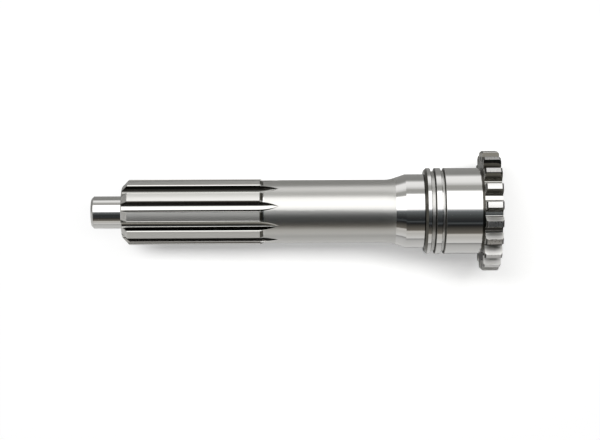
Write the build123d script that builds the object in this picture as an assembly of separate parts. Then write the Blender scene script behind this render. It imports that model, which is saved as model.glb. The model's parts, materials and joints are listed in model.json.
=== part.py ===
from build123d import *
from math import atan, cos, degrees, pi, radians, sin, sqrt, tan
import os

# A heavy gearbox input shaft, one solid piece of steel. It is modelled along X,
# from the pilot end face at x = 0 to the coupling end face, and then laid down
# as it rests: on two coupling teeth and on one key of the clutch spline.

INCH = 25.4

# Pilot journal, which runs in a 25 mm flywheel bearing
pilot_diameter = 25.0
pilot_length = 24.0
pilot_chamfer = 1.8
centre_hole_diameter = 8.0
centre_drill_diameter = 4.0
centre_hole_depth = 7.5
centre_hole_angle = 60.0
drill_point_angle = 118.0

# Clutch spline: 2 inch, 10 keys with parallel sides
spline_diameter = 2.0 * INCH
spline_keys = 10
key_width_ratio = 0.156
slot_depth_ratio = 0.095
spline_length = 107.0
lead_chamfer_length = 5.1
lead_chamfer_drop = 5.5
step_length = 2.2
key_edge_break_width = 0.85
key_edge_break_depth = 0.95
slot_root_radius = 1.0
cutter_radius = 36.5
run_out_overshoot = 0.1
run_out_past_step = 14.6
run_out_sections = 7
run_out_tip_share = 0.5
first_slot_angle = 13.2

# Shank and the cone up to the neck
shank_diameter = 48.9
shank_length = 97.4
cone_half_angle = 18.5
cone_fillet_radius = 20.0
neck_diameter = 2.25 * INCH
neck_length = 14.7

# Collar with two snap ring grooves
bearing_diameter = 2.625 * INCH
collar_chamfer = 1.8
first_land = 2.9
first_groove_width = 3.3
first_groove_depth = 2.5
second_land = 4.7
second_groove_width = 2.4
second_groove_depth = 2.0
land_edge_break = 0.3

# Bearing journal, ground, with a relief against the coupling ring
journal_length = 29.1
relief_width = 1.3
relief_depth = 0.9

# Coupling ring: external teeth of 6 diametral pitch
coupling_teeth = 20
tooth_module = INCH / 6
pressure_angle = 14.5
tooth_thickness = 7.3
tooth_dedendum = 3.95
tooth_root_radius = 1.3
flank_parts = 3
coupling_width = 13.5
coupling_chamfer = 1.25
tooth_start_angle = 9.0

# Blind pocket in the coupling end, for the pilot of the mainshaft
pocket_diameter = 1.5 * INCH
pocket_depth = 40.0
pocket_chamfer = 1.5

# Clearance kept between a cutting body and the surface it leaves
tool_overlap = 1.0

# Two points nearer than this are taken as one
match_distance = 0.01


# Sizes that follow from those above
spline_radius = spline_diameter / 2
key_width = key_width_ratio * spline_diameter
slot_root = spline_radius - slot_depth_ratio * spline_diameter
slot_half_angle = 180.0 / spline_keys
shank_radius = shank_diameter / 2
neck_radius = neck_diameter / 2
bearing_radius = bearing_diameter / 2
pitch_radius = coupling_teeth * tooth_module / 2
tip_radius = pitch_radius + tooth_module
tooth_root = pitch_radius - tooth_dedendum
base_radius = pitch_radius * cos(radians(pressure_angle))

spline_start = pilot_length
spline_full = spline_start + lead_chamfer_length
spline_end = spline_start + spline_length
shank_start = spline_end + step_length
cone_start = shank_start + shank_length
cone_length = (neck_radius - shank_radius) / tan(radians(cone_half_angle))
neck_start = cone_start + cone_length
collar_start = neck_start + neck_length
first_groove_start = collar_start + collar_chamfer + first_land
second_land_start = first_groove_start + first_groove_width
second_groove_start = second_land_start + second_land
journal_start = second_groove_start + second_groove_width
relief_start = journal_start + journal_length - relief_width
coupling_start = journal_start + journal_length
coupling_end = coupling_start + coupling_width


def groove(start, width, depth):
    """Points of a square groove in the collar, with its edges broken."""
    floor = bearing_radius - depth
    edge = land_edge_break
    return [
        (start - edge, bearing_radius),
        (start, bearing_radius - edge),
        (start, floor),
        (start + width, floor),
        (start + width, bearing_radius - edge),
        (start + width + edge, bearing_radius),
    ]


def pilot_and_spline_outline():
    """Half outline from the pilot end face to the end of the spline."""
    pilot_radius = pilot_diameter / 2
    return [
        (0, 0),
        (0, pilot_radius - pilot_chamfer),
        (pilot_chamfer, pilot_radius),
        (spline_start, pilot_radius),
        (spline_start, spline_radius - lead_chamfer_drop),
        (spline_full, spline_radius),
        (spline_end, spline_radius),
        (shank_start, shank_radius),
    ]


def collar_and_coupling_outline():
    """Half outline from the neck to the coupling end face."""
    return [
        (collar_start, neck_radius),
        (collar_start, bearing_radius - collar_chamfer),
        (collar_start + collar_chamfer, bearing_radius),
        *groove(first_groove_start, first_groove_width, first_groove_depth),
        *groove(second_groove_start, second_groove_width, second_groove_depth),
        (relief_start, bearing_radius),
        (relief_start, bearing_radius - relief_depth),
        (coupling_start, bearing_radius - relief_depth),
        (coupling_start, tip_radius - coupling_chamfer),
        (coupling_start + coupling_chamfer, tip_radius),
        (coupling_end - coupling_chamfer, tip_radius),
        (coupling_end, tip_radius - coupling_chamfer),
        (coupling_end, 0),
    ]


def cone_blend():
    """Shank, concave fillet and cone: the edges between the spline and the neck."""
    half = radians(cone_half_angle)
    tangent = cone_fillet_radius * tan(half / 2)
    fillet_start = (cone_start - tangent, shank_radius)
    fillet_end = (cone_start + tangent * cos(half), shank_radius + tangent * sin(half))
    middle = (
        fillet_start[0] + cone_fillet_radius * sin(half / 2),
        shank_radius + cone_fillet_radius * (1 - cos(half / 2)),
    )
    shank = Polyline((shank_start, shank_radius), fillet_start)
    fillet = ThreePointArc(fillet_start, middle, fillet_end)
    cone = Polyline(
        fillet_end,
        (neck_start, neck_radius),
        (collar_start, neck_radius),
    )
    return [*shank.edges(), *fillet.edges(), *cone.edges()]


def turned_blank():
    """The shaft as it leaves the lathe and the grinder, before any teeth are cut."""
    left = Polyline(*pilot_and_spline_outline())
    right = Polyline(*collar_and_coupling_outline())
    axis_line = Polyline((coupling_end, 0), (0, 0))
    edges = [*left.edges(), *cone_blend(), *right.edges(), *axis_line.edges()]
    outline = Face(Wire(edges))
    return revolve(outline, axis=Axis.X)


def slot_face(station, size):
    """Section of a clutch spline slot, at a station along the shaft.

    Its sides lie parallel to the centre lines of the keys on either side, and
    its floor is flat with rounded corners. A size under 1 shrinks the section
    towards a point just above the shank, as the cutter lifts out.
    """
    half = radians(slot_half_angle)
    apex = shank_radius + run_out_overshoot
    axis_offset = key_width / 2 / sin(half)
    break_start = spline_radius - key_edge_break_depth
    break_slope = key_edge_break_width / key_edge_break_depth
    top = spline_radius + tool_overlap

    def side(radius):
        return (radius - axis_offset) * tan(half)

    flare = side(break_start) + (top - break_start) * break_slope
    right = [
        (side(slot_root), slot_root),
        (side(break_start), break_start),
        (flare, top),
    ]
    points = [*right, *[(-y, z) for y, z in reversed(right)]]
    placed = [(y * size, apex + (z - apex) * size) for y, z in points]
    section = make_face(Polyline(*placed, placed[0]).edges())
    floor_height = apex - (apex - slot_root) * size
    floor = [v for v in section.vertices() if v.Y < floor_height + match_distance * size]
    rounded = fillet(floor, slot_root_radius * size)
    return Plane.YZ.offset(station) * rounded


def run_out_start():
    """Station at which the cutter begins to lift, and the length of its lift.

    The tips of the run-outs lie run_out_past_step beyond the end of the keys.
    """
    lift = shank_radius + run_out_overshoot - slot_root
    length = sqrt(2 * cutter_radius * lift - lift**2)
    return spline_end + run_out_past_step - length, length


def slot_cutter():
    """One slot of the clutch spline, with the run-out the round cutter leaves.

    The sections of the run-out crowd towards its tip, which comes a part of a
    step, run_out_tip_share, after the last of them.
    """
    start, length = run_out_start()
    depth = shank_radius + run_out_overshoot - slot_root
    straight = extrude(slot_face(spline_start - tool_overlap, 1.0), start - spline_start + tool_overlap)
    quarter_turn = pi / 2
    sections = []
    for step in range(run_out_sections):
        share = step / (run_out_sections + run_out_tip_share)
        along = length * sin(quarter_turn * share)
        lift = cutter_radius - sqrt(cutter_radius**2 - along**2)
        sections.append(slot_face(start + along, 1 - lift / depth))
    tip = Vertex(start + length, 0, shank_radius + run_out_overshoot)
    return straight + loft([*sections, tip])


def involute_angle(radius):
    """Angle that the involute has turned through at a radius, in radians."""
    if radius <= base_radius:
        return 0.0
    roll = sqrt((radius / base_radius) ** 2 - 1)
    return roll - atan(roll)


def gap_half_angle(radius):
    """Half the angle of the gap between two coupling teeth at a radius."""
    tooth_half = tooth_thickness / 2 / pitch_radius
    tooth_half += involute_angle(pitch_radius) - involute_angle(radius)
    return pi / coupling_teeth - tooth_half


def gap_point(radius, hand):
    """Point on the flank of a tooth gap that is centred on the Z axis."""
    angle = gap_half_angle(radius) * hand
    return (radius * sin(angle), radius * cos(angle))


def coupling_gap_cutter():
    """One gap between coupling teeth: two involute flanks and a rounded root."""
    outer = tip_radius + tool_overlap
    shares = [i / flank_parts for i in range(flank_parts + 1)]
    radii = [base_radius + (outer - base_radius) * share**2 for share in shares]
    edges = []
    for hand in (1, -1):
        flank = [gap_point(radius, hand) for radius in radii]
        edges += Spline(*flank).edges()
        edges += Line(gap_point(tooth_root, hand), flank[0]).edges()
    root = ThreePointArc(gap_point(tooth_root, 1), (0, tooth_root), gap_point(tooth_root, -1))
    lid = Line(gap_point(outer, 1), gap_point(outer, -1))
    section = make_face([*edges, *root.edges(), *lid.edges()])
    corners = [v for v in section.vertices() if v.Y < tooth_root + match_distance]
    section = fillet(corners, tooth_root_radius)
    start = coupling_start - tool_overlap
    return extrude(Plane.YZ.offset(start) * section, coupling_width + 2 * tool_overlap)


def centre_hole():
    """The 60 degree centre in the pilot end that the shaft was turned on."""
    mouth = centre_hole_diameter / 2
    drill = centre_drill_diameter / 2
    seat = (mouth - drill) / tan(radians(centre_hole_angle / 2))
    point = drill / tan(radians(drill_point_angle / 2))
    outline = Polyline(
        (-tool_overlap, 0),
        (-tool_overlap, mouth),
        (0, mouth),
        (seat, drill),
        (centre_hole_depth, drill),
        (centre_hole_depth + point, 0),
        (-tool_overlap, 0),
    )
    return revolve(Face(Wire(outline.edges())), axis=Axis.X)


def mainshaft_pocket():
    """The blind bore in the coupling end, with its drilled floor and eased mouth."""
    radius = pocket_diameter / 2
    floor = coupling_end - pocket_depth
    point = radius / tan(radians(drill_point_angle / 2))
    mouth = radius + pocket_chamfer
    outline = Polyline(
        (floor - point, 0),
        (floor, radius),
        (coupling_end - pocket_chamfer, radius),
        (coupling_end, mouth),
        (coupling_end + tool_overlap, mouth),
        (coupling_end + tool_overlap, 0),
        (floor - point, 0),
    )
    return revolve(Face(Wire(outline.edges())), axis=Axis.X)


def cut_shaft():
    """The finished shaft, still along X."""
    slot = slot_cutter()
    slots = [
        Rot(X=-first_slot_angle - i * 360 / spline_keys) * slot for i in range(spline_keys)
    ]
    gap = coupling_gap_cutter()
    gaps = [
        Rot(X=(i + 0.5) * 360 / coupling_teeth - tooth_start_angle) * gap
        for i in range(coupling_teeth)
    ]
    return turned_blank() - slots - gaps - centre_hole() - mainshaft_pocket()


def resting_tilt():
    """Slope of the axis when two coupling teeth and a key touch the ground."""
    corner = gap_half_angle(tip_radius)
    rise = tip_radius * cos(corner) - spline_radius
    run = coupling_start + coupling_chamfer - spline_full
    return degrees(atan(rise / run))


def laid_down(shaft):
    """The shaft at rest on z = 0, centred under its own box."""
    tilt = resting_tilt()
    lift = spline_radius * cos(radians(tilt)) - spline_full * sin(radians(tilt))
    tilted = Pos(0, 0, lift) * Rot(Y=-tilt) * shaft
    box = tilted.bounding_box()
    return Pos(-(box.min.X + box.max.X) / 2, 0, 0) * tilted


def main():
    os.makedirs("parts", exist_ok=True)
    input_shaft = laid_down(cut_shaft())
    input_shaft.label = "input_shaft"
    export_step(input_shaft, "parts/input_shaft.step")


if __name__ == "__main__":
    main()
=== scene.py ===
"""Dresses a gearbox input shaft, lying on a white studio table, in its machined steel finishes."""

import json
import logging
import math
from dataclasses import dataclass
from enum import Enum
from typing import Any

import bmesh
import bpy
from mathutils import Matrix, Vector

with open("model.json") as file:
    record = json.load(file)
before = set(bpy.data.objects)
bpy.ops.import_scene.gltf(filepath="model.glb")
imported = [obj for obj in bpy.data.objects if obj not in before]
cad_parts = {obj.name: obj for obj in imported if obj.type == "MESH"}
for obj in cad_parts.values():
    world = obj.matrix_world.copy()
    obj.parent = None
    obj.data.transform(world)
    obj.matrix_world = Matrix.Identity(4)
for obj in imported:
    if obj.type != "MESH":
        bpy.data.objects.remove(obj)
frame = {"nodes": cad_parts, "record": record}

LOG = logging.getLogger("input_shaft")
MM = 0.001

Tree = bpy.types.NodeTree
Socket = bpy.types.NodeSocket


def linear(colour: str) -> tuple[float, float, float, float]:
    """Turns an sRGB hex colour into linear light.

    Args:
        colour: six hex digits, with or without a leading #.

    Returns:
        Red, green, blue and an alpha of 1.
    """
    digits = colour.lstrip("#")
    channels = [int(digits[i : i + 2], 16) / 255 for i in (0, 2, 4)]
    turned = [c / 12.92 if c <= 0.04045 else ((c + 0.055) / 1.055) ** 2.4 for c in channels]
    return (turned[0], turned[1], turned[2], 1.0)


def add_node(
    tree: Tree,
    kind: str,
    settings: dict[str, Any] | None = None,
    links: dict[str | int, Any] | None = None,
) -> bpy.types.Node:
    """Adds one node, sets it up and joins its inputs.

    Args:
        tree: the node tree that gets the node.
        kind: the node's Blender type.
        settings: values of the node's own properties.
        links: for each input, by name or number, an output socket or a plain value.

    Returns:
        The new node.
    """
    node = tree.nodes.new(kind)
    for name, value in (settings or {}).items():
        setattr(node, name, value)
    for name, value in (links or {}).items():
        if isinstance(value, Socket):
            tree.links.new(value, node.inputs[name])
        else:
            node.inputs[name].default_value = value
    return node


class Spread(Enum):
    """How a colour ramp passes from one stop to the next."""

    STEP = "CONSTANT"
    BLEND = "LINEAR"


@dataclass(frozen=True)
class Stop:
    """One stop of a ramp: a place from 0 to 1 and the linear colour there."""

    place: float
    colour: tuple[float, float, float, float]


def set_stops(ramp: bpy.types.ColorRamp, stops: list[Stop], spread: Spread) -> None:
    """Gives a colour ramp its stops.

    Args:
        ramp: a new ramp, which has two stops.
        stops: the stops that it gets, two or more, in rising order.
        spread: how it passes from one stop to the next.
    """
    ramp.interpolation = spread.value
    for element, stop in zip(ramp.elements, stops[:2]):
        element.position = stop.place
        element.color = stop.colour
    for stop in stops[2:]:
        ramp.elements.new(stop.place).color = stop.colour


# A mask passes from 0 to 1 with no corner in its curve
SMOOTH = {"interpolation_type": "SMOOTHSTEP"}


@dataclass(frozen=True)
class Fade:
    """Two values between which a mask passes from 0, at the first, to 1, at the second."""

    start: float
    end: float

    def over(self, value: Socket) -> dict[str | int, Any]:
        """Gives the inputs with which a Map Range node turns a value into the mask."""
        return {"Value": value, "From Min": self.start, "From Max": self.end}


@dataclass(frozen=True)
class Finish:
    """A machined steel surface.

    Attributes:
        tone: sRGB hex of the steel as it reflects white light.
        roughness: mean roughness of the surface.
        ragged: how much the roughness changes from one tool mark to the next.
        mark: depth of the tool marks, in millimetres.
    """

    tone: str
    roughness: float
    ragged: float
    mark: float


# Ground steel is nearly a mirror, broken only by fine rings from the wheel
GROUND = Finish("#CAC9C7", 0.05, 0.05, 0.0025)
# Belt-polished steel keeps a softer, even sheen
POLISHED = Finish("#CAC9C7", 0.08, 0.04, 0.0020)
# Fine-turned steel is satin, because its rings scatter light along the shaft
SATIN = Finish("#BDBCB9", 0.30, 0.06, 0.0030)
# The lands of the spline are blasted after hardening, which leaves a soft, cloudy face
BLASTED = Finish("#C4C3C0", 0.42, 0.06, 0.0020)
# A turned chamfer shows brighter and darker rings
TURNED = Finish("#C2C1BF", 0.16, 0.08, 0.0040)
# A groove is cut by a narrow tool, which chatters and leaves its floor matt
GROOVE = Finish("#B0AFAC", 0.32, 0.08, 0.0030)
# The coupling ring is turned but never ground, so its tips only glow
RING = Finish("#C2C1BF", 0.28, 0.08, 0.0030)
# Floors that the hob cut are smooth and reflect nearly as the lands do
HOBBED = Finish("#BDBCB8", 0.12, 0.04, 0.0020)
# The flanks that carry the load are a rough satin, with a bright tone that is a painted highlight
DRIVE_SATIN_AND_HIGHLIGHT = Finish("#E2E1DE", 0.60, 0.04, 0.0020)
# Painted shade: the keys' flanks are darker
FLANK_SHADE_TONE = "#6E6C69"
# Painted shade: the corners are almost black
CORNER_SHADE_TONE = "#3C3B38"
# Painted shade on the walls, the relief and the unloaded flanks, darker than on the keys' flanks
DARK_SHADE_TONE = "#5A5852"


@dataclass(frozen=True)
class Zone:
    """A stretch of the shaft with one turned or ground finish, up to a station in millimetres."""

    end: float
    finish: Finish


@dataclass
class ShaftLine:
    """The shaft's own axis: where it lies in the frame, and its stations in millimetres.

    Stations run from the pilot end face towards the coupling end. They and the radii are the
    solid's own, so that each finish ends where its face does.

    Attributes:
        pilot_chamfer: end of the chamfer on the pilot's end.
        pilot_middle: middle of the pilot's ground part, where the record has its mount.
        spline_start: outer end of the keys.
        spline_end: inner end of the keys.
        shank_start: end of the small step behind the keys.
        shank_end: end of the satin part of the shank.
        collar_start: front face of the collar.
        first_groove: both ends of the first snap ring groove.
        second_groove: both ends of the second snap ring groove.
        journal_end: end of the bearing journal, where the grinding relief starts.
        ring_start: front face of the coupling ring.
        length: length of the whole shaft.
        slot_floor: radius of the slots' floors.
        floor_half: half the width of a slot's floor.
        edge_half: half the width of a slot between its keys' broken edges.
        mouth_half: half the width of a slot's mouth, broken edges included.
        first_slot: angle of the first slot from straight up towards +Y, in degrees.
        keys: number of keys.
        shank_radius: radius of the shank.
        tip_radius: radius of the coupling teeth's tips.
    """

    pilot_chamfer: float = 1.8
    pilot_middle: float = 12.9
    spline_start: float = 24.0
    spline_end: float = 131.0
    shank_start: float = 133.2
    shank_end: float = 235.0
    collar_start: float = 257.63
    first_groove: tuple[float, float] = (262.33, 265.63)
    second_groove: tuple[float, float] = (270.33, 272.73)
    journal_end: float = 300.53
    ring_start: float = 301.83
    length: float = 315.33
    slot_floor: float = 20.57
    floor_half: float = 2.55
    edge_half: float = 3.16
    mouth_half: float = 3.74
    first_slot: float = 13.2
    keys: int = 10
    shank_radius: float = 24.45
    tip_radius: float = 46.567

    def mount(self, name: str) -> dict[str, Any]:
        """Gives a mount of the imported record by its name."""
        return next(m for m in frame["record"]["mounts"] if m["name"] == name)

    def direction(self) -> Vector:
        """Gives the axis direction, from the pilot towards the coupling ring."""
        return -Vector(self.mount("pilot_journal")["axis"]).normalized()

    def origin(self) -> Vector:
        """Gives the middle of the pilot end face, in metres."""
        middle = Vector(self.mount("pilot_journal")["pos_m"])
        return middle - self.direction() * self.pilot_middle * MM

    def climb(self) -> float:
        """Gives the axis's angle above the table, in radians."""
        return math.asin(self.direction().z)

    def upright(self) -> Vector:
        """Gives the direction square to the axis that points away from the table."""
        return Vector((0.0, 1.0, 0.0)).cross(self.direction()) * -1.0

    def point(self, station: float) -> Vector:
        """Gives a point on the axis at a station, in metres."""
        return self.origin() + self.direction() * station * MM


@dataclass(frozen=True)
class Places:
    """Where each point of the steel lies and how it faces, as outputs of the material's nodes.

    Attributes:
        vector: the place in the shaft's own frame, in millimetres.
        station: the place along the shaft, in millimetres.
        share: the same place as a share of the shaft's length.
        radius: the distance from the axis, in millimetres.
        outward: the direction away from the axis, in the shaft's own frame.
        level: the way that the face points, in the shaft's own frame.
        facing: how squarely the face looks away from the axis, with 1 for straight away.
        aside: the distance round the shaft from the nearest slot's middle, in millimetres.
    """

    vector: Socket
    station: Socket
    share: Socket
    radius: Socket
    outward: Socket
    level: Socket
    facing: Socket
    aside: Socket


@dataclass(frozen=True)
class Masks:
    """How each face was made or kept, as outputs that are 1 on those faces and 0 elsewhere.

    Attributes:
        hobbed_part: the stretch that has keys, and the run-outs in the shank.
        cut: faces that a hob cut, on the spline and on the coupling ring.
        drive_highlight: the flanks of the coupling teeth that carry the load, which get a painted
            highlight.
        flanks: the flanks of the keys.
        corners: the corners that get painted shade, almost black.
        shade_faces: the walls, the relief, the step and the unloaded flanks, which get painted shade.
    """

    hobbed_part: Socket
    cut: Socket
    drive_highlight: Socket
    flanks: Socket
    corners: Socket
    shade_faces: Socket


@dataclass
class ShaftSteel:
    """The shaft's forged, turned, hobbed and ground steel, as one material.

    Attributes:
        line: the shaft's axis and stations.
        name: the material's name.
        ring_spacing: distance between turned or ground rings, in millimetres.
        ring_drift: how quickly a ring fades as it goes round, as a share of its rise.
        hob_spacing: distance between the hob's marks, in millimetres.
        hob_drift: how quickly a hob mark fades along the slot, as a share of its rise.
        mark_grit: how much of the marks' finer layers shows.
        dish_radius: radius of the slots' slightly hollow floors, in millimetres.
        edge_roll: how steeply the keys' broken edges roll over.
        lap: how far a finish laps over an edge, so that no face is split, in millimetres.
        shade_lap: how far the painted shade of corners and the step reaches over an edge, in
            millimetres.
        run_out_drop: how far under the shank's surface a run-out's finish starts.
        corner_reach: how far the dark of a groove's corner reaches before and behind it.
        fillet_facing: how squarely the coupling teeth's root fillets look outwards.
        turned_to: share of a flank's direction at which it counts as on one hand.
        standing: facing at which a face in a slot becomes a key's flank.
        upright: facing at which the end of a key becomes a wall.
        leaning: facing at which the collar's faces become walls or chamfers.
        slot_corner: place beside a slot's middle where the dark corner starts and is full.
    """

    line: ShaftLine
    name: str = "ground_alloy_steel"
    ring_spacing: float = 0.55
    ring_drift: float = 0.2
    hob_spacing: float = 0.9
    hob_drift: float = 0.08
    mark_grit: float = 0.6
    dish_radius: float = 7.5
    edge_roll: float = 0.42
    lap: float = 0.1
    shade_lap: float = 0.2
    run_out_drop: float = 0.25
    corner_reach: tuple[float, float] = (0.7, 0.25)
    fillet_facing: tuple[float, float] = (0.5, 0.93)
    turned_to: Fade = Fade(0.3, 0.7)
    standing: Fade = Fade(0.6, 0.3)
    upright: Fade = Fade(0.1, 0.04)
    leaning: Fade = Fade(0.85, 0.72)
    slot_corner: Fade = Fade(0.5, 2.0)

    def zones(self) -> list[Zone]:
        """Lists the turned and ground stretches from the pilot to the coupling ring.

        Returns:
            The stretches in order of station.
        """
        line = self.line
        return [
            Zone(line.pilot_chamfer, TURNED),
            Zone(line.spline_start + self.lap, POLISHED),
            Zone(line.spline_end, BLASTED),
            Zone(line.shank_start, TURNED),
            Zone(line.shank_end, SATIN),
            Zone(line.first_groove[0], POLISHED),
            Zone(line.first_groove[1], GROOVE),
            Zone(line.second_groove[0], POLISHED),
            Zone(line.second_groove[1], GROOVE),
            Zone(line.journal_end, GROUND),
            Zone(line.ring_start, TURNED),
            Zone(line.length, RING),
        ]

    def build(self) -> bpy.types.Material:
        """Builds the material.

        Returns:
            The finished material.
        """
        material = bpy.data.materials.new(self.name)
        material.use_nodes = True
        tree = material.node_tree
        tree.nodes.clear()
        places = self.places(tree)
        masks = self.masks(tree, places)
        marks = add_node(
            tree,
            "ShaderNodeMix",
            {"data_type": "FLOAT"},
            {0: masks.cut, 2: self.ring_marks(tree, places), 3: self.hob_marks(tree, places)},
        ).outputs[0]
        shader = add_node(
            tree,
            "ShaderNodeBsdfPrincipled",
            links={
                "Base Color": self.tone(tree, places, masks),
                "Metallic": 1.0,
                "Roughness": self.roughness(tree, places, masks, marks),
                "Normal": self.surface(tree, places, masks, marks),
            },
        )
        add_node(tree, "ShaderNodeOutputMaterial", links={"Surface": shader.outputs["BSDF"]})
        return material

    def places(self, tree: Tree) -> Places:
        """Measures each point of the steel from the shaft's own axis.

        Args:
            tree: the material's node tree.

        Returns:
            Where the point lies and how it faces.
        """
        line = self.line
        place = add_node(tree, "ShaderNodeTexCoord")
        vector = add_node(
            tree,
            "ShaderNodeMapping",
            {"vector_type": "TEXTURE"},
            {
                "Vector": place.outputs["Object"],
                "Location": line.origin(),
                "Rotation": (0.0, -line.climb(), 0.0),
                "Scale": (MM, MM, MM),
            },
        ).outputs["Vector"]
        level = add_node(
            tree,
            "ShaderNodeMapping",
            {"vector_type": "NORMAL"},
            {"Vector": place.outputs["Normal"], "Rotation": (0.0, line.climb(), 0.0)},
        ).outputs["Vector"]
        parts = add_node(tree, "ShaderNodeSeparateXYZ", links={"Vector": vector})
        share = add_node(
            tree,
            "ShaderNodeMath",
            {"operation": "DIVIDE"},
            {0: parts.outputs["X"], 1: line.length},
        ).outputs[0]
        across = add_node(
            tree, "ShaderNodeCombineXYZ", links={"Y": parts.outputs["Y"], "Z": parts.outputs["Z"]}
        ).outputs[0]
        radius = add_node(
            tree, "ShaderNodeVectorMath", {"operation": "LENGTH"}, {0: across}
        ).outputs["Value"]
        outward = add_node(
            tree, "ShaderNodeVectorMath", {"operation": "NORMALIZE"}, {0: across}
        ).outputs["Vector"]
        facing = add_node(
            tree, "ShaderNodeVectorMath", {"operation": "DOT_PRODUCT"}, {0: level, 1: outward}
        ).outputs["Value"]
        aside = self.aside(tree, parts)
        return Places(
            vector=vector,
            station=parts.outputs["X"],
            share=share,
            radius=radius,
            outward=outward,
            level=level,
            facing=facing,
            aside=aside,
        )

    def aside(self, tree: Tree, parts: bpy.types.Node) -> Socket:
        """Measures round the shaft from the middle of the nearest slot, towards +Y over the top.

        Args:
            tree: the material's node tree.
            parts: the node that splits the place in the shaft's own frame.

        Returns:
            The distance along the slot's floor, in millimetres.
        """
        line = self.line
        angle = add_node(
            tree,
            "ShaderNodeMath",
            {"operation": "ARCTAN2"},
            {0: parts.outputs["Y"], 1: parts.outputs["Z"]},
        ).outputs[0]
        pitch = 2 * math.pi / line.keys
        from_key = add_node(
            tree,
            "ShaderNodeMath",
            {"operation": "ADD"},
            {0: angle, 1: pitch / 2 - math.radians(line.first_slot)},
        ).outputs[0]
        turn = add_node(
            tree, "ShaderNodeMath", {"operation": "FLOORED_MODULO"}, {0: from_key, 1: pitch}
        ).outputs[0]
        return add_node(
            tree,
            "ShaderNodeMath",
            {"operation": "MULTIPLY_ADD"},
            {0: turn, 1: line.slot_floor, 2: -pitch / 2 * line.slot_floor},
        ).outputs[0]

    def masks(self, tree: Tree, places: Places) -> Masks:
        """Tells the faces of the shaft apart.

        Args:
            tree: the material's node tree.
            places: where each point lies and how it faces.

        Returns:
            How each face was made or kept.
        """
        line = self.line
        hobbed_part = self.hobbed_part(tree, places)
        in_mouth = self.between(tree, places.aside, -line.mouth_half, line.mouth_half)
        slots = add_node(
            tree, "ShaderNodeMath", {"operation": "MULTIPLY"}, {0: hobbed_part, 1: in_mouth}
        ).outputs[0]
        teeth = self.tooth_gaps(tree, places)
        standing = add_node(
            tree, "ShaderNodeMapRange", SMOOTH, self.standing.over(places.facing)
        ).outputs["Result"]
        flanks = add_node(
            tree, "ShaderNodeMath", {"operation": "MULTIPLY"}, {0: standing, 1: slots}
        ).outputs[0]
        # Painted shade goes on the unloaded flanks of the coupling teeth, and a painted highlight on
        # the others
        coast_shade = self.tooth_flanks(tree, places, teeth, 1.0)
        walls = self.walls(tree, places)
        step = self.step(tree, places, in_mouth)
        return Masks(
            hobbed_part=hobbed_part,
            cut=self.any_of(tree, [slots, teeth]),
            drive_highlight=self.tooth_flanks(tree, places, teeth, -1.0),
            flanks=flanks,
            corners=self.any_of(tree, self.corners(tree, places, slots, teeth)),
            shade_faces=self.any_of(tree, [walls, coast_shade, step]),
        )

    def any_of(self, tree: Tree, masks: list[Socket]) -> Socket:
        """Joins masks into one that is 1 wherever one of them is.

        Args:
            tree: the material's node tree.
            masks: the masks to join.

        Returns:
            The joined mask.
        """
        joined = masks[0]
        for mask in masks[1:]:
            joined = add_node(
                tree, "ShaderNodeMath", {"operation": "MAXIMUM"}, {0: joined, 1: mask}
            ).outputs[0]
        return joined

    def between(self, tree: Tree, value: Socket, low: float, high: float) -> Socket:
        """Marks where a value lies between two limits.

        Args:
            tree: the material's node tree.
            value: the output to test.
            low: the lower limit.
            high: the upper limit.

        Returns:
            An output that is 1 between the limits and 0 elsewhere.
        """
        return add_node(
            tree,
            "ShaderNodeMath",
            {"operation": "COMPARE"},
            {0: value, 1: (low + high) / 2, 2: (high - low) / 2},
        ).outputs[0]

    def hobbed_part(self, tree: Tree, places: Places) -> Socket:
        """Marks the stretch that has keys, and the run-outs in the shank.

        Args:
            tree: the material's node tree.
            places: where each point lies and how it faces.

        Returns:
            An output that is 1 along the keys and in the run-outs and 0 elsewhere.
        """
        line = self.line
        keys = self.between(tree, places.station, line.spline_start + self.lap / 2, line.spline_end)
        shank = self.between(tree, places.station, line.spline_end, line.shank_end)
        below = self.between(tree, places.radius, 0.0, line.shank_radius - self.run_out_drop)
        return add_node(
            tree,
            "ShaderNodeMath",
            {"operation": "MULTIPLY_ADD", "use_clamp": True},
            {0: shank, 1: below, 2: keys},
        ).outputs[0]

    def tooth_gaps(self, tree: Tree, places: Places) -> Socket:
        """Marks the flanks and roots of the coupling teeth.

        Args:
            tree: the material's node tree.
            places: where each point lies and how it faces.

        Returns:
            An output that is 1 between the teeth and 0 elsewhere.
        """
        line = self.line
        on_ring = self.between(
            tree, places.station, line.ring_start + self.lap, line.length - self.lap
        )
        below_tip = self.between(tree, places.radius, 0.0, line.tip_radius - self.lap)
        return add_node(
            tree, "ShaderNodeMath", {"operation": "MULTIPLY"}, {0: on_ring, 1: below_tip}
        ).outputs[0]

    def tooth_flanks(self, tree: Tree, places: Places, teeth: Socket, hand: float) -> Socket:
        """Marks the flanks on one hand of the coupling teeth.

        Args:
            tree: the material's node tree.
            places: where each point lies and how it faces.
            teeth: the mask of the teeth's flanks and roots.
            hand: 1 for the flanks that face with a right-handed turn, -1 for the others.

        Returns:
            An output that is 1 on those flanks and 0 elsewhere.
        """
        forward = add_node(
            tree,
            "ShaderNodeVectorMath",
            {"operation": "CROSS_PRODUCT"},
            {0: (hand, 0.0, 0.0), 1: places.outward},
        ).outputs["Vector"]
        share = add_node(
            tree,
            "ShaderNodeVectorMath",
            {"operation": "DOT_PRODUCT"},
            {0: places.level, 1: forward},
        ).outputs["Value"]
        turned_to = add_node(
            tree, "ShaderNodeMapRange", SMOOTH, self.turned_to.over(share)
        ).outputs["Result"]
        return add_node(
            tree, "ShaderNodeMath", {"operation": "MULTIPLY"}, {0: turned_to, 1: teeth}
        ).outputs[0]

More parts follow.
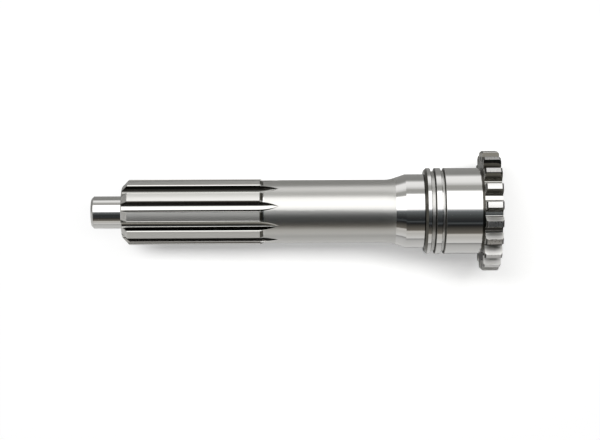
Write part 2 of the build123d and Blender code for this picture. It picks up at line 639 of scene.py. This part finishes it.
    def corners(self, tree: Tree, places: Places, slots: Socket, teeth: Socket) -> list[Socket]:
        """Marks the corners of the slots, of the coupling teeth's roots, and of the collar, which get
        painted shade.

        Args:
            tree: the material's node tree.
            places: where each point lies and how it faces.
            slots: the mask of the spline's slots.
            teeth: the mask of the coupling teeth's flanks and roots.

        Returns:
            One mask for each kind of corner.
        """
        line = self.line
        rising = add_node(
            tree, "ShaderNodeMapRange", SMOOTH, self.slot_corner.over(places.aside)
        ).outputs["Result"]
        below_edge = self.between(tree, places.aside, 0.0, line.edge_half)
        beside = add_node(
            tree, "ShaderNodeMath", {"operation": "MULTIPLY"}, {0: rising, 1: below_edge}
        ).outputs[0]
        in_slots = add_node(
            tree, "ShaderNodeMath", {"operation": "MULTIPLY"}, {0: beside, 1: slots}
        ).outputs[0]
        rounded = self.between(tree, places.facing, *self.fillet_facing)
        fillets = add_node(
            tree, "ShaderNodeMath", {"operation": "MULTIPLY"}, {0: rounded, 1: teeth}
        ).outputs[0]
        before, behind = self.corner_reach
        # The painted shade of the second groove's corner reaches over the edge beside the journal
        stations = (line.collar_start, line.first_groove[1], line.second_groove[1] + self.shade_lap)
        return [in_slots, fillets] + [
            self.between(tree, places.station, station - before, station + behind)
            for station in stations
        ]

    def walls(self, tree: Tree, places: Places) -> Socket:
        """Marks the ends of the keys, the collar's walls and chamfers, and the relief, which get
        painted shade.

        Args:
            tree: the material's node tree.
            places: where each point lies and how it faces.

        Returns:
            An output that is 1 on walls and in the relief and 0 elsewhere.
        """
        line = self.line
        lap = self.lap
        upright = add_node(
            tree, "ShaderNodeMapRange", SMOOTH, self.upright.over(places.facing)
        ).outputs["Result"]
        leaning = add_node(
            tree, "ShaderNodeMapRange", SMOOTH, self.leaning.over(places.facing)
        ).outputs["Result"]
        at_keys = self.between(
            tree, places.station, line.spline_start - lap, line.spline_start + lap
        )
        collar = self.between(tree, places.station, line.collar_start - lap, line.journal_end)
        relief = self.between(tree, places.station, line.journal_end, line.ring_start + lap / 2)
        key_ends = add_node(
            tree, "ShaderNodeMath", {"operation": "MULTIPLY"}, {0: upright, 1: at_keys}
        ).outputs[0]
        walls = add_node(
            tree,
            "ShaderNodeMath",
            {"operation": "MULTIPLY_ADD"},
            {0: leaning, 1: collar, 2: key_ends},
        ).outputs[0]
        return self.any_of(tree, [walls, relief])

    def step(self, tree: Tree, places: Places, in_mouth: Socket) -> Socket:
        """Marks the small step behind the keys, which gets painted shade.

        Args:
            tree: the material's node tree.
            places: where each point lies and how it faces.
            in_mouth: the mask of the slots' width.

        Returns:
            An output that is 1 on the step and 0 in the slots and elsewhere.
        """
        line = self.line
        behind_keys = self.between(
            tree,
            places.station,
            line.spline_end - self.shade_lap,
            line.shank_start + self.shade_lap,
        )
        beside_slots = add_node(
            tree, "ShaderNodeMath", {"operation": "SUBTRACT"}, {0: 1.0, 1: in_mouth}
        ).outputs[0]
        return add_node(
            tree, "ShaderNodeMath", {"operation": "MULTIPLY"}, {0: behind_keys, 1: beside_slots}
        ).outputs[0]

    def zone_ramp(self, tree: Tree, places: Places, field: str) -> Socket:
        """Adds a ramp along the shaft that gives one property of each stretch's finish.

        Args:
            tree: the material's node tree.
            places: where each point lies and how it faces.
            field: the name of the property.

        Returns:
            The ramp's colour output.
        """
        stops = []
        start = 0.0
        for zone in self.zones():
            value = getattr(zone.finish, field)
            colour = linear(value) if isinstance(value, str) else (value, value, value, 1.0)
            stops.append(Stop(start / self.line.length, colour))
            start = zone.end
        node = add_node(tree, "ShaderNodeValToRGB", links={"Fac": places.share})
        set_stops(node.color_ramp, stops, Spread.STEP)
        return node.outputs["Color"]

    def tone(self, tree: Tree, places: Places, masks: Masks) -> Socket:
        """Colours the steel: each finish's own tone, then the hobbed tone, a painted highlight on the
        drive flanks and painted shade on the darker kinds of face over it.

        Args:
            tree: the material's node tree.
            places: where each point lies and how it faces.
            masks: how each face was made or kept.

        Returns:
            The steel's colour.
        """
        tone = self.zone_ramp(tree, places, "tone")
        for mask, colour in (
            (masks.cut, HOBBED.tone),
            (masks.drive_highlight, DRIVE_SATIN_AND_HIGHLIGHT.tone),
            (masks.flanks, FLANK_SHADE_TONE),
            (masks.corners, CORNER_SHADE_TONE),
            (masks.shade_faces, DARK_SHADE_TONE),
        ):
            tone = add_node(
                tree,
                "ShaderNodeMix",
                {"data_type": "RGBA"},
                {0: mask, 6: tone, 7: linear(colour)},
            ).outputs[2]
        return tone

    def finish_value(self, tree: Tree, places: Places, masks: Masks, field: str) -> Socket:
        """Picks one number of the finish at each place.

        Args:
            tree: the material's node tree.
            places: where each point lies and how it faces.
            masks: how each face was made or kept.
            field: the name of the property.

        Returns:
            The property's value.
        """
        ramp = self.zone_ramp(tree, places, field)
        return add_node(
            tree,
            "ShaderNodeMix",
            {"data_type": "FLOAT"},
            {0: masks.cut, 2: ramp, 3: getattr(HOBBED, field)},
        ).outputs[0]

    def roughness(self, tree: Tree, places: Places, masks: Masks, marks: Socket) -> Socket:
        """Works out the roughness, which rises and falls with the tool marks.

        Args:
            tree: the material's node tree.
            places: where each point lies and how it faces.
            masks: how each face was made or kept.
            marks: the tool marks, from 0 to 1.

        Returns:
            The roughness.
        """
        mean = add_node(
            tree,
            "ShaderNodeMix",
            {"data_type": "FLOAT"},
            {
                0: masks.drive_highlight,
                2: self.finish_value(tree, places, masks, "roughness"),
                3: DRIVE_SATIN_AND_HIGHLIGHT.roughness,
            },
        ).outputs[0]
        swing = add_node(
            tree, "ShaderNodeMath", {"operation": "SUBTRACT"}, {0: marks, 1: 0.5}
        ).outputs[0]
        return add_node(
            tree,
            "ShaderNodeMath",
            {"operation": "MULTIPLY_ADD", "use_clamp": True},
            {0: swing, 1: self.finish_value(tree, places, masks, "ragged"), 2: mean},
        ).outputs[0]

    def surface(self, tree: Tree, places: Places, masks: Masks, marks: Socket) -> Socket:
        """Adds the tool marks and the slots' finer shape as bump.

        Args:
            tree: the material's node tree.
            places: where each point lies and how it faces.
            masks: how each face was made or kept.
            marks: the tool marks, from 0 to 1.

        Returns:
            The bumped surface direction.
        """
        depth = self.finish_value(tree, places, masks, "mark")
        marked = add_node(
            tree, "ShaderNodeMath", {"operation": "MULTIPLY"}, {0: marks, 1: depth}
        ).outputs[0]
        shape = self.slot_shape(tree, places, masks)
        height = add_node(
            tree, "ShaderNodeMath", {"operation": "ADD"}, {0: marked, 1: shape}
        ).outputs[0]
        return add_node(
            tree, "ShaderNodeBump", {}, {"Strength": 1.0, "Distance": MM, "Height": height}
        ).outputs["Normal"]

    def slot_shape(self, tree: Tree, places: Places, masks: Masks) -> Socket:
        """Hollows the slots' floors a little and rolls the keys' edges over towards their lands.

        A hob with a crowned tip leaves the floor rising with the square of the distance from its
        middle, and brushing rolls the edge.

        Args:
            tree: the material's node tree.
            places: where each point lies and how it faces.
            masks: how each face was made or kept.

        Returns:
            A height in millimetres.
        """
        line = self.line
        square = add_node(
            tree, "ShaderNodeMath", {"operation": "MULTIPLY"}, {0: places.aside, 1: places.aside}
        ).outputs[0]
        on_floor = add_node(
            tree, "ShaderNodeMath", {"operation": "MINIMUM"}, {0: square, 1: line.floor_half**2}
        ).outputs[0]
        dish = add_node(
            tree, "ShaderNodeMath", {"operation": "DIVIDE"}, {0: on_floor, 1: 2 * self.dish_radius}
        ).outputs[0]
        away = add_node(
            tree, "ShaderNodeMath", {"operation": "ABSOLUTE"}, {0: places.aside}
        ).outputs[0]
        fall = (line.mouth_half - line.edge_half) * self.edge_roll
        broken_edge = Fade(line.edge_half, line.mouth_half)
        rolled = add_node(
            tree, "ShaderNodeMapRange", {}, {**broken_edge.over(away), "To Max": -fall}
        ).outputs["Result"]
        shape = add_node(
            tree, "ShaderNodeMath", {"operation": "ADD"}, {0: dish, 1: rolled}
        ).outputs[0]
        return add_node(
            tree, "ShaderNodeMath", {"operation": "MULTIPLY"}, {0: shape, 1: masks.hobbed_part}
        ).outputs[0]

    def ring_marks(self, tree: Tree, places: Places) -> Socket:
        """Draws the rings round the shaft, and round its faces, that a lathe tool or wheel leaves.

        Real rings are about 0.1 mm apart. They are drawn coarser, so that they show, and each
        one fades in and out as it goes round.

        Args:
            tree: the material's node tree.
            places: where each point lies and how it faces.

        Returns:
            A height from 0 to 1.
        """
        drawn_out = add_node(
            tree,
            "ShaderNodeMapping",
            {},
            {"Vector": places.vector, "Scale": (1.0, self.ring_drift, self.ring_drift)},
        ).outputs["Vector"]
        outward = add_node(
            tree,
            "ShaderNodeMath",
            {"operation": "DIVIDE"},
            {0: places.radius, 1: self.ring_spacing},
        ).outputs[0]
        return add_node(
            tree,
            "ShaderNodeTexNoise",
            {"noise_dimensions": "4D"},
            {
                "Vector": drawn_out,
                "W": outward,
                "Scale": 1.0 / self.ring_spacing,
                "Detail": 2.0,
                "Roughness": self.mark_grit,
            },
        ).outputs[0]

    def hob_marks(self, tree: Tree, places: Places) -> Socket:
        """Draws the faint marks along the slots and flanks, from the hob's feed.

        Real ones lie about 0.3 mm apart. They are drawn coarser, so that they show.

        Args:
            tree: the material's node tree.
            places: where each point lies and how it faces.

        Returns:
            A height from 0 to 1.
        """
        stretched = add_node(
            tree,
            "ShaderNodeMapping",
            {},
            {"Vector": places.vector, "Scale": (self.hob_drift, 1.0, 1.0)},
        ).outputs["Vector"]
        return add_node(
            tree,
            "ShaderNodeTexNoise",
            {},
            {
                "Vector": stretched,
                "Scale": 1.0 / self.hob_spacing,
                "Detail": 3.0,
                "Roughness": self.mark_grit,
            },
        ).outputs[0]


@dataclass(frozen=True)
class Panel:
    """What lies in one direction round the shaft: an angle from straight up towards +Y, in degrees."""

    angle: float
    tone: str
    glow: float = 1.0


@dataclass(frozen=True)
class Side:
    """An end of the room, which takes over from the panels as a ray turns along the shaft.

    Attributes:
        share: share of the ray's direction along X at which it starts and is full.
        tone: sRGB hex of what lies there.
    """

    share: Fade
    tone: str


# Matt white paper, a little warm and not quite white
PAPER_TONE = "#F4F4F3"
# The same paper behind the shaft, painted darker for the steel's reflections alone: a painted shade
SHADED_TONE = "#A8A8A6"
WHITE = (1.0, 1.0, 1.0, 1.0)


@dataclass
class Studio:
    """The table, the soft light and the white room round the shaft.

    Attributes:
        line: the shaft's axis and stations.
        table_size: side of the square table, in metres.
        lamp_size: length and width of the lamp, in metres.
        lamp_distance: from the middle of the shaft to the lamp, in metres.
        lamp_lean: how far the lamp leans from straight above towards +Y, in degrees.
        lamp_power: the lamp's power, in watts.
        fill: strength of the room's even light on matt surfaces.
        lift: glow of the paper as the camera sees it.
        panel_strength: strength of the room's panels in the steel.
        tent_glow: how much brighter than white the panel over the shaft is.
        room_turn: how far the room is turned round the shaft, in degrees.
        table_stretch: length of the shadow's part of the table along X, as a share of its width.
        clear_table: distance from the middle over which the table turns pure white, in metres.
        clear_pilot: place along X over which it does so beside the pilot, in metres.
        pilot_white: how white it gets there.
        behind_shaft: place along Y over which the paper mirrors darker, in metres.
        far_floor: place along Y over which the table mirrors as a bright sheet, in metres.
    """

    line: ShaftLine
    table_size: float = 3.0
    lamp_size: tuple[float, float] = (1.4, 0.36)
    lamp_distance: float = 1.1
    lamp_lean: float = 17.0
    lamp_power: float = 12.5
    fill: float = 0.15
    lift: float = 0.33
    panel_strength: float = 1.72
    tent_glow: float = 1.3
    room_turn: float = 0.5
    table_stretch: float = 0.45
    clear_table: Fade = Fade(0.09, 0.22)
    clear_pilot: Fade = Fade(-0.10, -0.14)
    pilot_white: float = 0.9
    behind_shaft: Fade = Fade(-0.02, 0.03)
    far_floor: Fade = Fade(0.12, 0.26)

    def panels(self) -> list[Panel]:
        """Lists the room as polished steel shows it, from the -Y horizon over the top to +Y.

        Returns:
            The panels in order of angle.
        """
        return [
            Panel(-90, "#C2C2C1"),
            Panel(-80, "#B8B7B5"),
            Panel(-72, "#AEADAA"),
            Panel(-64, "#B6B4B0"),
            Panel(-62, "#A8A6A1"),
            Panel(-60, "#64605A"),
            Panel(-51, "#524F4A"),
            Panel(-45, "#403E3A"),
            Panel(-37, "#1D1D1D"),
            Panel(-33, "#2A2C2E"),
            Panel(-30, "#4A4D4F"),
            Panel(-27.5, "#222527"),
            Panel(-19, "#2D2E2F"),
            Panel(-9, "#434647"),
            Panel(0, "#5E6163"),
            Panel(4, "#84878A"),
            Panel(10, "#FFFFFF", self.tent_glow),
            Panel(55, "#FFFFFF", self.tent_glow),
            Panel(59, "#B4B4B3"),
            Panel(62, "#969694"),
            Panel(73, "#999996"),
            Panel(77, "#B9B9B8"),
            Panel(86, "#DCDCDC"),
            Panel(90, "#DEDEDE"),
        ]

    def sides(self) -> list[Side]:
        """Lists the two ends of the room: light beyond the pilot, dark beyond the coupling ring."""
        return [Side(Fade(-0.72, -0.95), "#949492"), Side(Fade(0.50, 0.66), "#3A3A39")]

    def dimmed(self, panel: Panel) -> tuple[float, float, float, float]:
        """Gives a panel's linear colour as a share of the brightest panel's glow.

        Args:
            panel: the panel.

        Returns:
            Red, green, blue and alpha.
        """
        red, green, blue, alpha = linear(panel.tone)
        share = panel.glow / self.tent_glow
        return (red * share, green * share, blue * share, alpha)

    def room(self, tree: Tree) -> Socket:
        """Paints the room that polished steel shows: panels round the shaft, and its two ends.

        Args:
            tree: the world's node tree.

        Returns:
            The room's colour in each direction.
        """
        place = add_node(tree, "ShaderNodeTexCoord")
        parts = add_node(
            tree, "ShaderNodeSeparateXYZ", links={"Vector": place.outputs["Generated"]}
        )
        angle = add_node(
            tree,
            "ShaderNodeMath",
            {"operation": "ARCTAN2"},
            {0: parts.outputs["Y"], 1: parts.outputs["Z"]},
        ).outputs[0]
        turn = math.radians(self.room_turn)
        upper_half = Fade(turn - math.pi / 2, turn + math.pi / 2)
        share = add_node(tree, "ShaderNodeMapRange", {}, upper_half.over(angle)).outputs["Result"]
        stops = [Stop((panel.angle + 90) / 180, self.dimmed(panel)) for panel in self.panels()]
        node = add_node(tree, "ShaderNodeValToRGB", links={"Fac": share})
        set_stops(node.color_ramp, stops, Spread.BLEND)
        colour = node.outputs["Color"]
        for side in self.sides():
            beside = add_node(
                tree, "ShaderNodeMapRange", SMOOTH, side.share.over(parts.outputs["X"])
            ).outputs["Result"]
            colour = add_node(
                tree,
                "ShaderNodeMix",
                {"data_type": "RGBA"},
                {0: beside, 6: colour, 7: linear(side.tone)},
            ).outputs[2]
        return colour

    def build_world(self) -> None:
        """Makes the world: white behind everything, soft grey light, and panels for the steel."""
        world = bpy.data.worlds.new("studio_room")
        bpy.context.scene.world = world
        world.use_nodes = True
        # The steel's own reflections find the panels one by one, and so keep their edges sharp
        world.cycles.sampling_method = "NONE"
        tree = world.node_tree
        tree.nodes.clear()
        rays = add_node(tree, "ShaderNodeLightPath")
        seen = add_node(
            tree,
            "ShaderNodeMath",
            {"operation": "MAXIMUM"},
            {0: rays.outputs["Is Camera Ray"], 1: rays.outputs["Is Transmission Ray"]},
        ).outputs[0]
        white = add_node(
            tree, "ShaderNodeBackground", links={"Color": WHITE, "Strength": 1.0}
        ).outputs[0]
        soft = add_node(
            tree, "ShaderNodeBackground", links={"Color": WHITE, "Strength": self.fill}
        ).outputs[0]
        mirrored = add_node(
            tree,
            "ShaderNodeBackground",
            links={"Color": self.room(tree), "Strength": self.panel_strength * self.tent_glow},
        ).outputs[0]
        lit = add_node(
            tree,
            "ShaderNodeMixShader",
            links={0: rays.outputs["Is Glossy Ray"], 1: soft, 2: mirrored},
        ).outputs[0]
        whole = add_node(
            tree, "ShaderNodeMixShader", links={0: seen, 1: lit, 2: white}
        ).outputs[0]
        add_node(tree, "ShaderNodeOutputWorld", links={"Surface": whole})

    def build_table(self) -> bpy.types.Object:
        """Makes the white table.

        Returns:
            The table.
        """
        shape = bmesh.new()
        bmesh.ops.create_grid(
            shape, x_segments=1, y_segments=1, size=self.table_size / 2, matrix=Matrix.Identity(4)
        )
        mesh = bpy.data.meshes.new("table")
        shape.to_mesh(mesh)
        shape.free()
        table = bpy.data.objects.new("table", mesh)
        bpy.context.scene.collection.objects.link(table)
        table.data.materials.append(self.table_paper())
        return table

    def clear_share(self, tree: Tree, place: Socket, along: Socket) -> Socket:
        """Tells how far the table has turned pure white, away from the shaft's shadow.

        Args:
            tree: the paper's node tree.
            place: the place on the table.
            along: its X alone.

        Returns:
            A share from 0 to 1.
        """
        squeezed = add_node(
            tree,
            "ShaderNodeMapping",
            {},
            {"Vector": place, "Scale": (self.table_stretch, 1.0, 1.0)},
        ).outputs["Vector"]
        distance = add_node(
            tree, "ShaderNodeVectorMath", {"operation": "LENGTH"}, {0: squeezed}
        ).outputs["Value"]
        around = add_node(
            tree, "ShaderNodeMapRange", SMOOTH, self.clear_table.over(distance)
        ).outputs["Result"]
        # Painted light: beside the pilot the paper turns nearly white over the pilot's shadow
        by_pilot = add_node(
            tree,
            "ShaderNodeMapRange",
            SMOOTH,
            {**self.clear_pilot.over(along), "To Max": self.pilot_white},
        ).outputs["Result"]
        return add_node(
            tree, "ShaderNodeMath", {"operation": "MAXIMUM"}, {0: around, 1: by_pilot}
        ).outputs[0]

    def sheet(self, tree: Tree, across: Socket, rays: bpy.types.Node) -> Socket:
        """Builds the paper itself, which the lamp lights and the shaft shades.

        Args:
            tree: the paper's node tree.
            across: the place along Y.
            rays: the Light Path node.

        Returns:
            The paper's shader.
        """
        behind = add_node(
            tree, "ShaderNodeMapRange", SMOOTH, self.behind_shaft.over(across)
        ).outputs["Result"]
        shaded = add_node(
            tree,
            "ShaderNodeMath",
            {"operation": "MULTIPLY"},
            {0: behind, 1: rays.outputs["Is Glossy Ray"]},
        ).outputs[0]
        tone = add_node(
            tree,
            "ShaderNodeMix",
            {"data_type": "RGBA"},
            {0: shaded, 6: linear(PAPER_TONE), 7: linear(SHADED_TONE)},
        ).outputs[2]
        matt = add_node(tree, "ShaderNodeBsdfDiffuse", links={"Color": tone}).outputs[0]
        glow = add_node(
            tree,
            "ShaderNodeMath",
            {"operation": "MULTIPLY"},
            {0: rays.outputs["Is Camera Ray"], 1: self.lift},
        ).outputs[0]
        clean = add_node(
            tree, "ShaderNodeEmission", links={"Color": WHITE, "Strength": glow}
        ).outputs[0]
        return add_node(tree, "ShaderNodeAddShader", links={0: matt, 1: clean}).outputs[0]

    def table_paper(self) -> bpy.types.Material:
        """Builds the matt white paper of the table, which fades to pure white round the shadow.

        Returns:
            The finished material.
        """
        material = bpy.data.materials.new("matt_white_paper")
        material.use_nodes = True
        # The pure white is there for the eye and for mirrors alone, and is no lamp
        material.cycles.emission_sampling = "NONE"
        tree = material.node_tree
        tree.nodes.clear()
        place = add_node(tree, "ShaderNodeTexCoord").outputs["Object"]
        parts = add_node(tree, "ShaderNodeSeparateXYZ", links={"Vector": place})
        rays = add_node(tree, "ShaderNodeLightPath")
        seen = add_node(
            tree,
            "ShaderNodeMath",
            {"operation": "MAXIMUM"},
            {0: rays.outputs["Is Camera Ray"], 1: rays.outputs["Is Transmission Ray"]},
        ).outputs[0]
        clear = add_node(
            tree,
            "ShaderNodeMath",
            {"operation": "MULTIPLY"},
            {0: self.clear_share(tree, place, parts.outputs["X"]), 1: seen},
        ).outputs[0]
        white = add_node(
            tree, "ShaderNodeEmission", links={"Color": WHITE, "Strength": 1.0}
        ).outputs[0]
        near = add_node(
            tree,
            "ShaderNodeMixShader",
            links={0: clear, 1: self.sheet(tree, parts.outputs["Y"], rays), 2: white},
        ).outputs[0]
        # Painted glow: far behind the shaft the paper glows brighter than white, in the steel's
        # reflections alone
        far = add_node(
            tree, "ShaderNodeMapRange", SMOOTH, self.far_floor.over(parts.outputs["Y"])
        ).outputs["Result"]
        mirrored = add_node(
            tree,
            "ShaderNodeMath",
            {"operation": "MULTIPLY"},
            {0: far, 1: rays.outputs["Is Glossy Ray"]},
        ).outputs[0]
        bright = add_node(
            tree, "ShaderNodeEmission", links={"Color": WHITE, "Strength": self.tent_glow}
        ).outputs[0]
        whole = add_node(
            tree, "ShaderNodeMixShader", links={0: mirrored, 1: near, 2: bright}
        ).outputs[0]
        add_node(tree, "ShaderNodeOutputMaterial", links={"Surface": whole})
        return material

    def build_lamp(self) -> bpy.types.Object:
        """Makes the soft lamp above and behind the shaft, which throws its shadow forward.

        Returns:
            The lamp's object.
        """
        data = bpy.data.lights.new("softbox", "AREA")
        data.shape = "RECTANGLE"
        data.size, data.size_y = self.lamp_size
        data.energy = self.lamp_power
        lamp = bpy.data.objects.new("softbox", data)
        bpy.context.scene.collection.objects.link(lamp)
        lean = math.radians(self.lamp_lean)
        back = Vector((0.0, math.sin(lean), math.cos(lean)))
        lamp.location = self.line.point(self.line.length / 2) + back * self.lamp_distance
        lamp.rotation_mode = "QUATERNION"
        lamp.rotation_quaternion = back.to_track_quat("Z", "Y")
        # In the steel the bright panel of the room stands for the lamp
        lamp.visible_glossy = False
        return lamp


@dataclass
class ProductCamera:
    """A long lens that looks down on the shaft, square to its axis.

    Attributes:
        line: the shaft's axis.
        station: the place along the shaft under the middle of the picture, in millimetres.
        drop: how far the aim lies below the axis in the picture, in millimetres.
        distance: from the lens to the axis, in millimetres.
        lens: focal length, in millimetres on a 36 mm sensor.
        lean: how far the camera leans from straight above towards +Y, in degrees.
        roll: how far the shaft's coupling end rises in the picture, in degrees.
    """

    line: ShaftLine
    station: float = 161.7
    drop: float = 6.6
    distance: float = 1300.0
    lens: float = 100.3
    lean: float = 3.9
    roll: float = 0.28

    def build(self) -> bpy.types.Object:
        """Makes the camera and gives it to the scene.

        Returns:
            The camera's object.
        """
        lean = math.radians(self.lean)
        roll = math.radians(self.roll)
        along = self.line.direction()
        side = Vector((0.0, 1.0, 0.0))
        upright = self.line.upright()
        back = upright * math.cos(lean) + side * math.sin(lean)
        level_up = side * math.cos(lean) - upright * math.sin(lean)
        right = along * math.cos(roll) - level_up * math.sin(roll)
        top = level_up * math.cos(roll) + along * math.sin(roll)
        aim = self.line.point(self.station) - top * self.drop * MM
        data = bpy.data.cameras.new("product_camera")
        data.lens = self.lens
        data.sensor_width = 36.0
        data.clip_start = 0.05
        data.clip_end = 20.0
        camera = bpy.data.objects.new("product_camera", data)
        bpy.context.scene.collection.objects.link(camera)
        turn = Matrix((right, top, back)).transposed().to_4x4()
        camera.matrix_world = Matrix.Translation(aim + back * self.distance * MM) @ turn
        bpy.context.scene.camera = camera
        return camera


@dataclass
class InputShaft:
    """The shaft itself: the CAD solid with its steel finishes."""

    line: ShaftLine
    node: str = "input_shaft"

    def dress(self) -> bpy.types.Object:
        """Gives the solid its steel.

        Returns:
            The dressed object.
        """
        shaft = frame["nodes"][self.node]
        steel = ShaftSteel(self.line).build()
        shaft.data.materials.clear()
        shaft.data.materials.append(steel)
        return shaft


def main() -> None:
    """Builds the scene: the camera, the dressed shaft, the table, the lamp and the room."""
    logging.basicConfig(level=logging.INFO, format="%(name)s: %(message)s")
    bpy.context.scene.view_settings.view_transform = "Standard"
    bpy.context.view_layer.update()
    line = ShaftLine()
    camera = ProductCamera(line).build()
    LOG.info("camera %s at %s", camera.name, tuple(round(v, 3) for v in camera.location))
    shaft = InputShaft(line).dress()
    LOG.info("shaft %s, %d faces", shaft.name, len(shaft.data.polygons))
    studio = Studio(line)
    studio.build_world()
    table = studio.build_table()
    lamp = studio.build_lamp()
    LOG.info("stage %s and %s", table.name, lamp.name)


if __name__ == "__main__":
    main()
